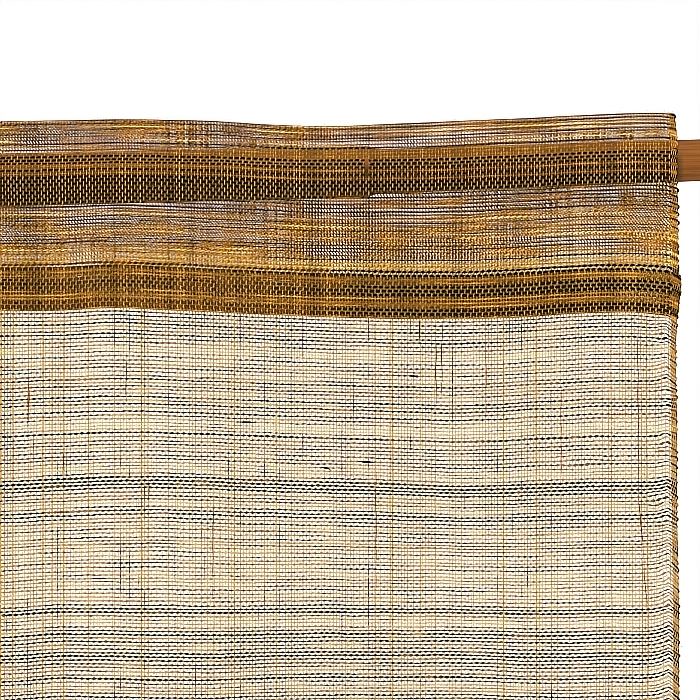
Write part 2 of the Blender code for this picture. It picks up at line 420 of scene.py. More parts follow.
# How far the wefts stray up or down from level, at 20, 50 and 87 mm below the heading.
Stray = namedtuple("Stray", "across at_20 at_50 at_87")
RIGHT_STRAY = [Stray(*row) for row in (
    (0.0, 0.0004, -0.0003, 0.0002), (0.06, -0.0008, 0.0006, 0.0004), (0.13, 0.0009, 0.001, -0.0004),
    (0.19, -0.0003, -0.0004, -0.0009), (0.222, 0.0004, 0.0, -0.0006), (0.24, 0.001, 0.0008, 0.0004),
    (0.26, 0.0014, 0.0015, 0.0003), (0.282, 0.0008, 0.0013, 0.0), (0.309, -0.0002, 0.0002, 0.0002),
    (0.334, -0.0009, -0.0005, 0.0002), (0.364, -0.0012, -0.0012, 0.0), (0.386, 0.0, -0.0006, -0.0002),
    (0.402, 0.0007, -0.0002, 0.0), (0.425, 0.0005, -0.0003, 0.0002),
)]
LEFT_STRAY = [Stray(*row) for row in (
    (0.0, -0.0004, 0.0004, 0.0003), (0.08, 0.0009, -0.0006, -0.0008), (0.16, -0.0007, -0.0009, 0.0004),
    (0.25, 0.0008, 0.0006, -0.0004), (0.34, -0.0008, 0.001, 0.0007), (0.425, 0.0003, -0.0005, -0.0003),
)]
STRAY_DEPTHS = (0.0, 0.0202, 0.0505, 0.0868, 0.3, 0.62, 0.84)
# The outline of the outer selvedge, as how far it stands out from straight, by depth below the crease.
Outline = namedtuple("Outline", "below out")
RIGHT_OUTLINE = [Outline(*row) for row in (
    (0.0, -0.0009), (0.003, -0.0005), (0.015, -0.0006), (0.031, 0.0001), (0.046, 0.0003), (0.052, 0.0005),
    (0.06, 0.0001), (0.07, -0.0003), (0.09, -0.0001), (0.125, 0.0001), (0.138, 0.0004), (0.2, 0.0003),
    (0.4, -0.0006), (0.65, 0.0005), (0.9, 0.0),
)]
FLAP_CORNER = [Outline(*row) for row in (
    (0.0, 0.0), (0.03, 0.0), (0.046, 0.0003), (0.053, 0.0007), (0.057, 0.0004), (0.063, 0.0),
)]


def curve_through(places, values, at):
    """A smooth curve through a table: cubic between rows, each slope that of the rows on either side."""
    places = np.asarray(places, float)
    values = np.asarray(values, float)
    slopes = np.gradient(values, places)
    at = np.clip(at, places[0], places[-1])
    index = np.clip(np.searchsorted(places, at, "right") - 1, 0, len(places) - 2)
    width = places[index + 1] - places[index]
    t = (at - places[index]) / width
    start = values[index] * (1 + 2 * t) * (1 - t) ** 2 + slopes[index] * width * t * (1 - t) ** 2
    end = values[index + 1] * t * t * (3 - 2 * t) + slopes[index + 1] * width * t * t * (t - 1)
    return start + end


def table_curve(rows, name, at):
    """The smooth curve of one of a table's columns over its first."""
    return curve_through([row[0] for row in rows], column_of(rows, name), at)


def along_path(paths, count):
    """Points spaced evenly by length along paths, (columns, points, 2), as (count + 1, columns, 2)."""
    steps = np.linalg.norm(np.diff(paths, axis=1), axis=2)
    length = np.concatenate([np.zeros((len(paths), 1)), np.cumsum(steps, axis=1)], axis=1)
    picked = np.empty((count + 1, len(paths), 2))
    for column, (path, run) in enumerate(zip(paths, length)):
        wanted = np.linspace(0.0, run[-1], count + 1)
        picked[:, column, 0] = np.interp(wanted, run, path[:, 0])
        picked[:, column, 1] = np.interp(wanted, run, path[:, 1])
    return picked


def pocket_layer(x, crease_z, lower_z):
    """The front layer of the pocket in each column, from the lower edge to the crease's top, as (y, z): down
    the hem band, tangent on to a circle that clears the rod, round it, and tangent off to the crease."""
    axis_z, rod_radius = rod_shape(x)
    radius = rod_radius + CLOTH_ROD_GAP
    spread = np.ones(9) / 9
    radius = np.maximum(radius, np.convolve(np.pad(radius, 4, "edge"), spread, "valid"))
    top_z = crease_z - CREASE_RADIUS
    close_z = lower_z + POCKET_CLOSE
    below = axis_z - close_z
    above = top_z - axis_z
    low = -math.pi / 2 - np.arccos(radius / np.hypot(LAYER_GAP, below)) - np.arctan2(LAYER_GAP, below)
    high = (-1.5 * math.pi + np.arccos(radius / np.hypot(CREASE_RADIUS, above))
            + np.arctan2(CREASE_RADIUS, above))
    turn = np.linspace(low, high, 13, axis=1)
    radius, axis_z = radius[:, None], axis_z[:, None]
    round_rod = np.stack([radius * np.cos(turn), axis_z + radius * np.sin(turn)], -1)
    start = np.stack([np.full((len(x), 2), -LAYER_GAP), np.stack([lower_z, close_z], 1)], -1)
    turn = np.linspace(math.pi, math.pi / 2, 5)
    over = np.stack([np.broadcast_to(CREASE_RADIUS * np.cos(turn), (len(x), 5)),
                     top_z[:, None] + CREASE_RADIUS * np.sin(turn)], -1)
    return np.concatenate([start, round_rod, over], axis=1)


def turned(y_from, y_to, z, length, steps=7):
    """A section that turns from a layer at y_from, through a half circle at z, and up or down along y_to."""
    radius = (y_to - y_from) / 2
    turn = np.linspace(0.0, math.pi, steps)
    side = -1.0 if length > 0 else 1.0
    y = (y_from + y_to) / 2 - radius * np.cos(turn)
    z = np.asarray(z)[:, None] + side * abs(radius) * np.sin(turn)
    points = np.stack([np.broadcast_to(y, z.shape), z], -1)
    end = np.stack([np.full(len(z), y_to), z[:, -1] + length], -1)[:, None]
    return np.concatenate([points, end], axis=1)


def slow_waves(rng, x, rows, waves, height, shortest, longest):
    """Gentle wandering of the wefts: a sum of sine waves across, each drifting in phase from row to row."""
    total = np.zeros((len(rows), len(x)))
    for _ in range(waves):
        length = rng.uniform(shortest, longest)
        phase = rng.uniform(0, 2 * math.pi) + rows[:, None] * rng.uniform(-0.09, 0.09)
        swell = 0.6 + 0.4 * np.sin(rows[:, None] * rng.uniform(0.02, 0.07) + rng.uniform(0, 6))
        total += rng.uniform(0.4, 1.0) * swell * np.sin(2 * math.pi * x[None, :] / length + phase)
    return height * total / waves ** 0.5


def own_waves(rng, x, rows, height):
    """The wandering of each weft on its own: four sine waves across, with chance phases."""
    total = np.zeros((rows, len(x)))
    for length in (0.017, 0.029, 0.047, 0.083):
        total += np.sin(2 * math.pi * x[None, :] / length + rng.uniform(0, 2 * math.pi, (rows, 1)))
    return height * total / 2.0


def warp_places(field):
    """The columns of the mesh as warp counts, and how far across the panel each lies. There is a column for
    each warp near the selvedges."""
    edge = np.arange(EDGE_COLUMNS)
    counts = np.concatenate([edge, field, WARPS - edge[::-1]])
    numbers = column_of(EDGE, "number") + [WARPS - warp.number for warp in EDGE[::-1]]
    insets = column_of(EDGE, "inset") + [PANEL_WIDTH - warp.inset for warp in EDGE[::-1]]
    return counts, np.interp(counts, numbers, insets)


def panel_points(side, field, head, folds, stray, seed):
    """Every point of a panel, (rows, columns, 3), row by row from the pocket's raw end to the hem's."""
    rng = np.random.default_rng(seed)
    counts, across = warp_places(field)
    x = side * (SLIT_HALF + across)
    crease_z = table_curve(head, "crease_z", across)
    lower_z = table_curve(head, "lower_z", across)
    front_head = pocket_layer(x, crease_z, lower_z)
    back_head = front_head * (-1.0, 1.0)
    turn_in = turned(LAYER_GAP, 0.0, lower_z + LAYER_GAP / 2, TURN_WEFTS * WEFT_PITCH)

    fall = np.arange(FALL_WEFTS + 1)
    depth = fall * (LOWER_EDGE_Z - HEM_BOTTOM_Z) / FALL_WEFTS
    places = column_of(stray, "across")
    far = rng.normal(0.0, 0.0007, (2, len(places)))
    knots = np.stack([
        lower_z - LOWER_EDGE_Z,
        *(table_curve(stray, name, across) for name in ("at_20", "at_50", "at_87")),
        curve_through(places, far[0], across),
        curve_through(places, far[1], across),
        np.zeros_like(across),
    ])
    strays = np.stack([curve_through(STRAY_DEPTHS, knots[:, c], depth) for c in range(len(across))], 1)
    calm = np.clip(np.minimum(fall / 6.0, (FALL_WEFTS - fall) / 14.0), 0.0, 1.0)[:, None]
    strays += calm * slow_waves(rng, across, fall, 7, 0.00016, 0.014, 0.09)
    strays += calm * rng.uniform(-0.00023, 0.00023, (len(fall), 1))
    strays += calm * own_waves(rng, across, len(fall), 0.00009)
    share = (depth / depth[-1])[:, None]
    hump = np.zeros_like(across)
    for fold in folds:
        reach = np.clip((across - fold.across) / fold.half_width, -1.0, 1.0)
        hump += fold.depth * 0.5 * (1.0 + np.cos(math.pi * reach))
    fall_y = -LAYER_GAP + hump[None, :] * share * (2.0 - share)
    fall_z = LOWER_EDGE_Z - depth[:, None] + strays

    hem_y = fall_y[-1]
    hem_top = np.full(len(across), HEM_BOTTOM_Z)
    behind = turned(0.0, HEM_GAP * 2, hem_top, HEM_WEFTS * WEFT_PITCH)
    inside = turned(HEM_GAP * 2, HEM_GAP, behind[:, -1, 1], -TURN_WEFTS * WEFT_PITCH)

    turn_rows = along_path(turn_in, TURN_WEFTS)[::-1]
    back_rows = along_path(back_head, HEAD_WEFTS)
    front_rows = along_path(front_head, HEAD_WEFTS)[::-1]
    hem_place = np.stack([hem_y, np.zeros_like(hem_y)], -1)
    behind_rows = along_path(behind, HEM_WEFTS) + hem_place
    inside_rows = along_path(inside, TURN_WEFTS) + hem_place
    # The layers' wefts wander apart, which makes the moire in the doubled cloth.
    layers = ((back_rows, 0.00036, 0.5), (front_rows, 0.00018, 0.0), (turn_rows, 0.0003, 0.2))
    for rows, height, shift in layers:
        ease = np.sin(np.linspace(0.0, math.pi, len(rows)))[:, None] ** 0.25
        waves = slow_waves(rng, across, np.arange(len(rows)), 8, height, 0.014, 0.08)
        waves += own_waves(rng, across, len(rows), 0.0001)
        drift = shift * WEFT_PITCH + rng.uniform(-0.00024, 0.00024, (len(rows), 1))
        rows[:, :, 1] += ease * (waves + drift)
    fall_rows = np.stack([fall_y, fall_z], -1)
    sections = np.concatenate([turn_rows, back_rows[1:], front_rows[1:], fall_rows[1:],
                               behind_rows[1:], inside_rows[1:]])
    points = np.empty((*sections.shape[:2], 3))
    points[:, :, 0] = x
    points[:, :, 1:] = sections
    return counts, across, points


right_counts, right_across, right_points = panel_points(
    1, RIGHT_FIELD, RIGHT_HEAD, RIGHT_FOLDS, RIGHT_STRAY, 11)
left_counts, left_across, left_points = panel_points(
    -1, LEFT_FIELD, LEFT_HEAD, LEFT_FOLDS, LEFT_STRAY, 23)

# How far the wefts rise towards each selvedge and drop into it, where they are pulled hardest.
EdgeRise = namedtuple("EdgeRise", "inset rise")
EDGE_RISE = [EdgeRise(*row) for row in (
    (0.0, -0.0011), (0.001, -0.0002), (0.0021, 0.001), (0.0031, 0.0018), (0.0042, 0.0011),
    (0.0056, 0.0005), (0.0075, 0.0001), (0.0095, 0.0),
)]
# Small gaps where the wefts have slipped apart, by place, half width and how far they are pushed.
Gap = namedtuple("Gap", "x z half_width push")
RIGHT_GAPS = [Gap(*row) for row in (
    (0.4211, -0.0453, 0.0017, 0.0007), (0.4218, -0.0774, 0.0014, 0.0005),
    (0.4188, -0.0948, 0.0022, 0.0006), (0.4214, -0.1176, 0.0016, 0.0006),
    (0.4222, -0.1252, 0.0015, 0.0005), (0.396, -0.0838, 0.005, 0.0005),
)]
GAP_HALF_HEIGHT = 0.0013


def shape_selvedges(points, across, side, gaps, seed):
    """Draws the wefts up and then down into each selvedge, by an amount that varies along it, opens the small
    gaps between wefts, and gives the outer selvedge its uneven outline."""
    rng = np.random.default_rng(seed)
    rows = len(points)
    for inset in (across, PANEL_WIDTH - across):
        rise = np.interp(inset, column_of(EDGE_RISE, "inset"), column_of(EDGE_RISE, "rise"))
        places = np.arange(0, rows + 9, 9)
        pull = curve_through(places, rng.uniform(0.1, 0.8, len(places)), np.arange(rows))
        strong = np.clip((np.arange(rows) - FALL_START - 52) / 12.0, 0.0, 1.0)
        strong *= np.clip((FALL_START + 130 - np.arange(rows)) / 25.0, 0.45, 1.0)
        pull = np.maximum(pull, 0.9 * strong) + rng.uniform(-0.22, 0.22, rows)
        from_crease = np.abs(np.arange(rows) - FRONT_START)
        pull[:FALL_START] *= 0.4 * np.clip(from_crease[:FALL_START] / 8.0, 0.0, 1.0)
        pull[-TURN_WEFTS - HEM_WEFTS - 12:] *= 0.2
        points[:, :, 2] += pull[:, None] * rise[None, :]
    fall = points[FALL_START:-TURN_WEFTS - HEM_WEFTS - 2]
    for gap in gaps:
        height = (fall[:, :, 2] - gap.z) / GAP_HALF_HEIGHT
        near = np.exp(-((fall[:, :, 0] - gap.x) / gap.half_width) ** 2)
        fall[:, :, 2] += gap.push * near * height * np.exp(0.5 - 0.5 * height * height)
    below = np.clip(points[FRONT_START, -1, 2] - points[:, -1, 2], 0.0, None)
    out = table_curve(RIGHT_OUTLINE, "out", below)
    out[:FRONT_START] += table_curve(FLAP_CORNER, "out", below)[:FRONT_START]
    weight = np.exp(-(PANEL_WIDTH - across) / 0.018)
    points[:, :, 0] += side * out[:, None] * weight[None, :]
    # The back layer's warps lie a little aside from the front ones, and the openings of both show through.
    aside = 0.00008 + 0.00008 * np.sin(across / 0.021 + 0.7) * np.sin(math.pi * across / PANEL_WIDTH)
    inner = np.sin(math.pi * np.clip(across / PANEL_WIDTH, 0, 1)) ** 0.3
    points[:FRONT_START, :, 0] += side * (aside * inner)[None, :]


shape_selvedges(right_points, right_across, 1, RIGHT_GAPS, 5)
shape_selvedges(left_points, left_across, -1, (), 6)

# The order of the weft yarns, a letter each: D thick black-brown, d dark, m dark and fine, r red-brown, t tan
# and fine, c pale and fine, g golden. The heading's front layer reads from the crease down, the fall from the
# heading's lower edge down.
HEAD_ORDER = "rDgrDrgDrrrDDdrdrDDDdDdDdDrgdrdrgrdDrgdggDDrrDDDrrrDDr"
BACK_ORDER = "rdDrDdrddrDrddrdDrdrdDgrdrDdDrdrDgrdDrddrDdrddDrdrDrrg"
TURN_ORDER = "drDrddDrdrdD"
FALL_ORDER = "mmmdtmdmrtctmtrmtrdtmrtdrdtdrtcctDrmmtmrmtttrDDDdrmrcmddmmcrtmtrtrttmmttrttmttrm"
Yarn = namedtuple("Yarn", "tone half_width")
YARN = {
    "D": Yarn(0.02, 0.235),
    "d": Yarn(0.1, 0.205),
    "m": Yarn(0.28, 0.185),
    "r": Yarn(0.38, 0.195),
    "t": Yarn(0.47, 0.17),
    "c": Yarn(0.6, 0.155),
    "g": Yarn(0.64, 0.215),
}


def weft_order(seed, rows, charted):
    """A letter for each weft of a panel: the charted stretches, and between them runs of two or three dark
    yarns among runs of middle, tan and cream ones."""
    rng = np.random.default_rng(seed)
    letters = []
    while len(letters) < rows:
        letters += list(rng.choice(list("Ddm"), rng.integers(1, 4), p=[0.5, 0.35, 0.15]))
        letters += list(rng.choice(list("dmrtc"), rng.integers(2, 6), p=[0.25, 0.38, 0.17, 0.13, 0.07]))
    letters = letters[:rows]
    for start, chart in charted:
        letters[start:start + len(chart)] = list(chart)
    return letters


SELVEDGE_COLOR = (0.46, 0.23, 0.03)
SINGLE_TINT = (0.94, 1.0, 1.0)
# Painted shade: the doubled cloth's front layers are made darker and more orange, for the shaded layer behind
# them.
DOUBLED_PAINTED_SHADE = (1.0, 0.92, 0.76)
# Painted shade on the doubled cloth's warps, dark against the light behind them.
WARP_SILHOUETTE_SHADE = (0.26, 0.165, 0.07)
# Painted light: the golden of the layers behind, as if lit through from behind.
BACKLIT_BEHIND_COLOR = (0.95, 0.56, 0.07)
# Painted shade: the brown of warps that lie over the rod or the turned-in layer.
BACKED_WARP_SHADE_COLOR = (0.38, 0.24, 0.06)


def yarn_color(tone):
    """The colour of a weft yarn by its tone: black-brown, brown, ochre, then cream."""
    return tone.ramp([
        (0.0, (0.008, 0.008, 0.004)),
        (0.2, (0.045, 0.025, 0.006)),
        (0.37, (0.26, 0.085, 0.014)),
        (0.52, (0.53, 0.205, 0.022)),
        (0.76, (0.68, 0.375, 0.055)),
        (1.0, (0.74, 0.58, 0.22)),
    ])


def hemp_material():
    """Open plain weave. The map counts yarns, so its whole part numbers a yarn and the rest is the place
    across it. A yarn covers the middle of its share of the cloth, thicker and thinner along its length, and
    the cloth is open elsewhere. Warp and weft take turns on top at each crossing."""
    material, shader, place = new_material("open_weave_hemp")
    woven = place.node("ShaderNodeUVMap", {"uv_map": "Weave"})
    split = woven.node("ShaderNodeSeparateXYZ", {}, {"Vector": woven})
    weft_at = Wire(split.socket.node.outputs[1])
    tone, width, doubled, backed, behind = (
        place.attribute(name) for name in ("weft_tone", "weft_width", "doubled", "backed", "behind"))
    lit_through = doubled * (1.0 - backed)
    # Between one weft and the next the warps lean, most in the doubled cloth
    lean = (0.5 - (weft_at + 0.5).math("FRACT")) * (0.15 + lit_through * 0.55) * (1.0 - behind * 2.0)
    warp_at = split + lean

    def noise(x, y, detail=2.0):
        spot = place.node("ShaderNodeCombineXYZ", {}, {0: x, 1: y})
        return place.node("ShaderNodeTexNoise", {"noise_dimensions": "2D"},
                          {"Vector": spot, "Scale": 1.0, "Detail": detail, "Roughness": 0.6})

    def chance(number, salt):
        return number.node("ShaderNodeTexWhiteNoise", {"noise_dimensions": "1D"}, {"W": number + salt})

    warp = warp_at.math("FLOOR")
    weft = weft_at.math("FLOOR")
    warp_chance = chance(warp, 0.37)
    warp_kind = chance(warp, 0.61)
    weft_slow = noise(warp_at * 0.045, weft * 7.31)
    weft_quick = noise(warp_at * 0.38, weft * 5.17)
    warp_slow = noise(warp * 6.71, weft_at * 0.06)
    warp_quick = noise(warp * 4.33, weft_at * 0.5)
    # In the doubled cloth whole patches of a few wefts are golden and full, and others dark and thin
    patch = (noise(split * 0.035, (weft_at - FRONT_START).math("ABSOLUTE") * 0.28) - 0.5) * lit_through

    # Places across each yarn, from -0.5 to 0.5, with the yarn's own wandering taken off
    wander = (warp_chance - 0.5) * 0.22 + (warp_slow - 0.5) * 0.3
    across_warp = warp_at.math("FRACT") - 0.5 + wander * (1.0 - lit_through * 0.4)
    across_weft = weft_at.math("FRACT") - 0.5 + (weft_quick - 0.5) * 0.3
    inset = warp_at.math("MINIMUM", WARPS - warp_at)
    packed = (EDGE[1].number + 0.3 - inset).clamp()
    spread = (EDGE[2].number - inset).clamp() * (1.0 - packed)
    warp_gold = ((warp_kind - 0.88) * 30.0).clamp() * (1.0 - doubled)
    warp_half = 0.118 + warp_chance * 0.06 + (warp_quick - 0.5) * 0.16
    warp_half = warp_half * (1.0 + packed * 1.7 - spread * 0.2) * (1.0 + warp_gold * 0.4)
    warp_half = warp_half * (1.0 + (doubled * 0.3 + lit_through * 0.04) * (1.0 - packed) - backed * 0.2)
    weft_half = width * (0.56 + weft_slow * 0.4 + weft_quick * 0.56 + patch * 1.7)
    weft_half = weft_half * (1.0 + behind * 0.44 - lit_through * 0.29) * (1.0 + packed * 0.7)
    # A yarn is fullest where it passes over and slimmest where it passes under
    warp_half = warp_half * (1.0 + 0.14 * ((weft_at + warp) * math.pi).math("SINE"))
    weft_half = weft_half * (1.0 - 0.36 * ((warp_at + weft) * math.pi).math("SINE"))
    warp_offset = across_warp.math("ABSOLUTE") / warp_half
    weft_offset = across_weft.math("ABSOLUTE") / weft_half

    mottle = 1.25 - lit_through * 0.15 - backed * 1.0
    weft_tone = tone + (weft_slow - 0.5) * mottle + (weft_quick - 0.5) * (0.6 - backed * 0.3) + patch * 1.6
    weft_tone = (weft_tone + 0.06 - doubled * 0.06 + backed * 0.04).clamp()
    warp_dark = ((0.2 - warp_kind) * 12.0).clamp() * ((warp_slow - 0.58) * 9.0).clamp()
    warp_dark = warp_dark * (1.0 - doubled * 0.7)
    warp_tone = 0.36 + warp_kind * 0.46 + (warp_quick - 0.5) * 0.5 - warp_dark * 0.6 - warp_gold * 0.4
    warp_tone = warp_tone.clamp()
    warp_color = warp_tone.ramp([
        (0.0, (0.06, 0.03, 0.008)),
        (0.2, (0.16, 0.08, 0.02)),
        (0.36, (0.54, 0.28, 0.03)),
        (0.6, (0.69, 0.43, 0.07)),
        (1.0, (0.78, 0.58, 0.15)),
    ])
    warp_color = warp_color.mix(place.paint(SELVEDGE_COLOR).tint(0.5 + warp_chance), packed * 0.85)
    # Painted shade: warps over the rod or the turned-in layer are darkened towards brown.
    backing_shade = place.paint(BACKED_WARP_SHADE_COLOR).tint(0.35 + warp_slow * 1.0)
    warp_color = warp_color.mix(backing_shade, backed * 0.8 * (1.0 - behind))

    # Pale yarns let light through, dark ones don't. A crossing shows the upper yarn over the lower one.
    warp_density = 1.02 - warp_tone * 0.5 + packed * 0.4 + warp_gold * 0.3 + doubled * 0.55
    weft_density = 0.94 - weft_tone * 0.12 + doubled * 0.55
    warp_cover = ((1.0 - warp_offset) * 5.0 + 0.5).clamp() * warp_density.clamp()
    weft_cover = ((1.0 - weft_offset) * 5.0 + 0.5).clamp() * weft_density.clamp()
    weft_over = (warp + weft).math("FLOORED_MODULO", 2.0)
    warp_share = warp_cover * (1.0 - weft_cover * weft_over)
    cover = 1.0 - (1.0 - warp_cover) * (1.0 - weft_cover)
    warp_shows = (warp_share / cover.math("MAXIMUM", 0.001)).clamp()
    # Painted shade: in the doubled cloth the warps are darkened to stand dark against the light behind
    silhouette = lit_through * (1.0 - packed * 0.7) * (1.0 - weft_cover * 0.12)
    warp_color = warp_color.mix(warp_color.times(WARP_SILHOUETTE_SHADE), silhouette)

    # Painted shade and highlight: each yarn is lighter where it rises over the crossing yarn, and darker
    # where it dips under it and towards its edges, more so in the doubled cloth.
    swing = 1.0 - weft_over * 2.0
    relief = 0.18 + doubled * 0.16

    def shade(side, across_other, offset):
        lift = side * (across_other * math.pi).math("COSINE")
        return 0.9 + (lift - offset * offset * 1.6) * relief

    warp_shade = shade(swing, across_weft, warp_offset)
    weft_shade = shade(-1.0 * swing, across_warp, weft_offset)
    # Painted light: the wefts of the layers behind are turned golden as if lit through from behind, and
    # painted shade dims this to brown in the turned-in layer.
    golden = place.paint(BACKLIT_BEHIND_COLOR).tint((0.4 + weft_slow * 1.2) * (1.0 - backed * 0.65))
    weft_color = yarn_color(weft_tone).mix(golden, behind * (0.6 + tone * 0.9))
    color = weft_color.tint(weft_shade).mix(warp_color.tint(warp_shade), warp_shows)
    color = color.times(SINGLE_TINT).mix(color, doubled)
    # Painted shade: the doubled cloth's front layers are made darker and more orange, for the shaded layer
    # behind them.
    color = color.mix(color.times(DOUBLED_PAINTED_SHADE), doubled * (1.0 - behind))
    # Some warps lie closer than others, which draws lighter and darker stripes down the doubled cloth.
    # Painted light lifts it a little more where it is lit through, away from the rod and the turned-in layer.
    stripe = noise(warp_at * 0.17, 3.7, 4.0)
    color = color.mix(color.tint(0.35 + stripe * 1.3 + lit_through * 0.2), doubled)
    feed(shader, Base_Color=color, Alpha=cover, Roughness=0.85, Specular_IOR_Level=0.0)
    return material


hemp = hemp_material()


def add_panel(name, node, counts, points, letters):
    """A panel's sheet, with the yarn counts as its map and each weft's tone and width on its row of faces. A
    row that is taller or shorter than the pitch keeps its yarn's thickness."""
    rows, columns = points.shape[:2]
    faces = grid_faces(rows, columns)
    panel = new_piece(name, points.reshape(-1, 3), faces, hemp)
    warp_count = np.broadcast_to(counts, (rows, columns)).ravel()
    weft_count = np.repeat(np.arange(rows), columns)
    weave = panel.data.uv_layers.new(name="Weave")
    pairs = np.stack([warp_count[faces], weft_count[faces]], -1)
    weave.data.foreach_set("uv", pairs.astype(np.float32).ravel())
    yarns = np.array([YARN[letter] for letter in letters[:rows - 1]])
    height = np.linalg.norm(np.diff(points, axis=0), axis=2).mean(axis=1)
    row = np.arange(rows - 1)
    doubled = np.where((row < FALL_START) | (row > rows - TURN_WEFTS - 2 * HEM_WEFTS - 2), 1.0, 0.0)
    yarns[:, 1] *= np.clip(WEFT_PITCH / height, 0.75, 1.35)
    middle = (points[:-1, :-1] + points[1:, 1:]) / 2
    axis_z, rod_radius = rod_shape(middle[:, :, 0])
    backed = (row[:, None] >= FRONT_START) & (row[:, None] < FALL_START)
    backed = backed & (np.abs(middle[:, :, 2] - axis_z) < rod_radius)
    turned_in = (row[:, None] >= FALL_START - TURN_WEFTS - 4) & (row[:, None] < FALL_START)
    backed = np.where(turned_in, np.where(yarns[:, :1] < 0.05, 1.0, 0.55), backed)
    yarns[:, 1] *= np.where(turned_in[:, 0] & (yarns[:, 0] < 0.05), 1.15, 1.0)
    # Left of this place the dark wefts of the turned-in rows run out into brown ones
    browner = np.clip((0.345 - np.abs(middle[:, :, 0])) / 0.03, 0.0, 1.0) * 0.2 * turned_in
    tones = yarns[:, :1] + np.where(yarns[:, :1] < 0.15, browner, 0.05 * turned_in)
    behind = (row >= TURN_WEFTS) & (row < FRONT_START) | (row >= FALL_START + FALL_WEFTS)
    # The turned-in layer is pressed close and fills the openings in front of it with brown
    behind = np.where(row < TURN_WEFTS, 0.5, behind)
    backed[:TURN_WEFTS] = 1.0
    yarns[:TURN_WEFTS, 1] *= 2.3
    everywhere = np.ones((1, columns - 1))
    for title, values in (("weft_tone", tones), ("weft_width", yarns[:, 1:] * everywhere),
                          ("doubled", doubled[:, None] * everywhere), ("backed", backed),
                          ("behind", behind[:, None] * everywhere)):
        layer = panel.data.attributes.new(title, "FLOAT", "FACE")
        layer.data.foreach_set("value", values.astype(np.float32).ravel())
    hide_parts(node)


weft_rows = len(right_points)
right_letters = weft_order(31, weft_rows, (
    (0, TURN_ORDER), (TURN_WEFTS, BACK_ORDER), (FRONT_START, HEAD_ORDER), (FALL_START, FALL_ORDER)))
left_letters = weft_order(47, weft_rows, (
    (0, TURN_ORDER), (TURN_WEFTS, BACK_ORDER), (FRONT_START, HEAD_ORDER[5:])))
add_panel("hemp_panel_right", "panel_right", right_counts, right_points, right_letters)
add_panel("hemp_panel_left", "panel_left", left_counts, left_points, left_letters)

# Loose yarns
# On each panel, the weft yarn's turns round both selvedges, and the odd thick, dark or knotted yarns of hand
# weaving, lying on the cloth. Stitches hold the heading's lower edge, the hem and the seam between panels.

LOOP_INSET = 0.0019
LOOP_RADIUS = 0.00019


def tubes(paths, radii, tones):
    """Thin four-sided tubes along paths, (tubes, points, 3), with a radius for each point and a cap at each
    end, as points, faces and a tone for each face."""
    number, length = paths.shape[:2]
    ahead = np.gradient(paths, axis=1)
    ahead /= np.linalg.norm(ahead, axis=2, keepdims=True) + 1e-12
    sideways = np.cross(ahead, (0.13, 0.97, 0.21))
    sideways /= np.linalg.norm(sideways, axis=2, keepdims=True) + 1e-12
    upright = np.cross(sideways, ahead)
    turn = np.linspace(0.0, 2.0 * math.pi, 4, endpoint=False)
    ring = np.cos(turn)[:, None] * sideways[:, :, None, :] + np.sin(turn)[:, None] * upright[:, :, None, :]
    points = paths[:, :, None, :] + ring * radii[:, :, None, None]
    walls = grid_faces(length, 4, wrap=True)
    caps = np.array([[3, 2, 1, 0], [4 * length - 4, 4 * length - 3, 4 * length - 2, 4 * length - 1]])
    one = np.concatenate([walls, caps])
    faces = (np.arange(number)[:, None, None] * 4 * length + one[None]).reshape(-1, 4)
    return points.reshape(-1, 3), faces, np.repeat(tones, len(one))


def add_yarns(name, groups, material):
    """One piece of several groups of tubes, with each tube's tone on its faces."""
    starts = np.cumsum([0] + [len(group[0]) for group in groups[:-1]])
    points = np.concatenate([group[0] for group in groups])
    faces = np.concatenate([group[1] + start for group, start in zip(groups, starts)])
    piece = new_piece(name, points, faces, material)
    tone = piece.data.attributes.new("tone", "FLOAT", "FACE")
    tone.data.foreach_set("value", np.concatenate([group[2] for group in groups]).astype(np.float32))


def yarn_material():
    """Spun hemp in its weft colours, mottled along its length."""
    material, shader, place = new_material("hemp_yarn")
    mottle = place.node("ShaderNodeTexNoise", {}, {"Vector": place, "Scale": 900.0, "Detail": 2.0})
    color = yarn_color((place.attribute("tone") + (mottle - 0.5) * 0.5).clamp())
    feed(shader, Base_Color=color, Roughness=0.85, Specular_IOR_Level=0.0)
    return material


